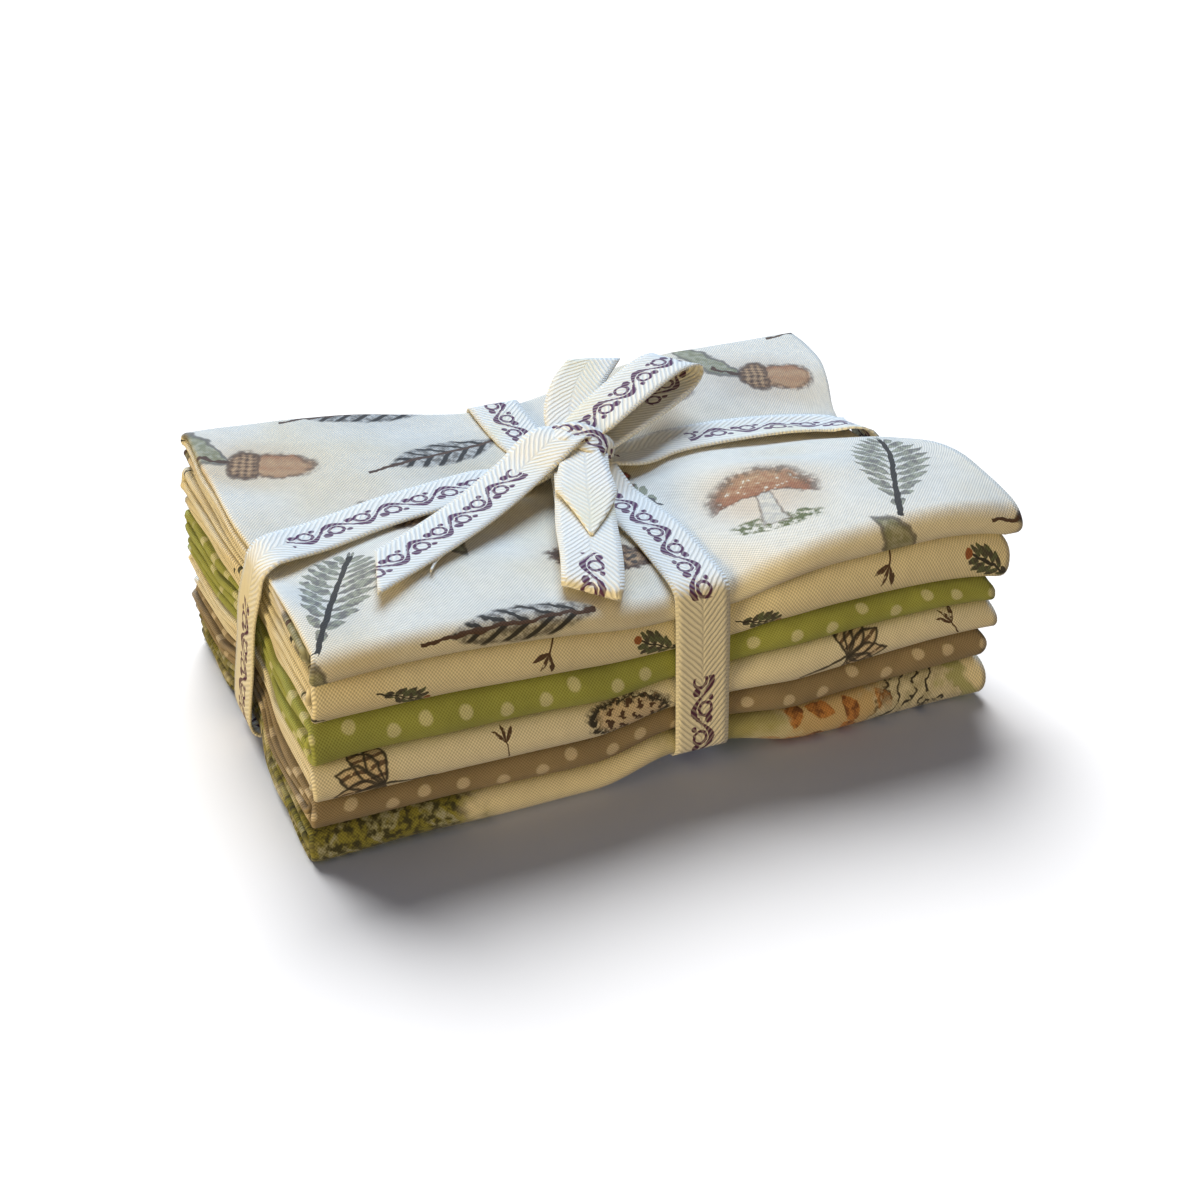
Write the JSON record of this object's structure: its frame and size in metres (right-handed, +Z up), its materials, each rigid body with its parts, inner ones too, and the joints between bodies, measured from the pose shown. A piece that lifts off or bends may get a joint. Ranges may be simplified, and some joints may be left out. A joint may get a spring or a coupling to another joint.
{
  "type": "fat quarter bundle",
  "caption": "Folded cuts of quilting cotton stacked and tied both ways with a cotton tape in a bow.",
  "frame": {"origin": "centre of the outline on the table", "axes": "+X along the long side, -Y towards the rounded outer folds, +Z up"},
  "size_m": [0.1912, 0.1148, 0.0739],
  "materials": {
    "top_sprigs_cotton": "plain weave quilting cotton, cream with printed motifs",
    "cream_sprigs_cotton": "plain weave quilting cotton, cream with small dark sprigs",
    "green_dots_cotton": "plain weave quilting cotton, moss green with pale dots",
    "cone_sketch_cotton": "plain weave quilting cotton, cream with dark ink cones",
    "taupe_dots_cotton": "plain weave quilting cotton, taupe with pale dots",
    "mossy_leaves_cotton": "plain weave quilting cotton, cream and olive mottled print",
    "twill_tape": "herringbone twill cotton tape, off-white"
  },
  "bodies": {
    "root": {"fat_quarter_top_sprigs": "top_sprigs_cotton", "fat_quarter_cream_sprigs": "cream_sprigs_cotton", "fat_quarter_green_dots": "green_dots_cotton", "fat_quarter_cone_sketch": "cone_sketch_cotton", "fat_quarter_taupe_dots": "taupe_dots_cotton", "fat_quarter_mossy_leaves": "mossy_leaves_cotton", "tape_tie": "twill_tape"}
  },
  "joints": []
}
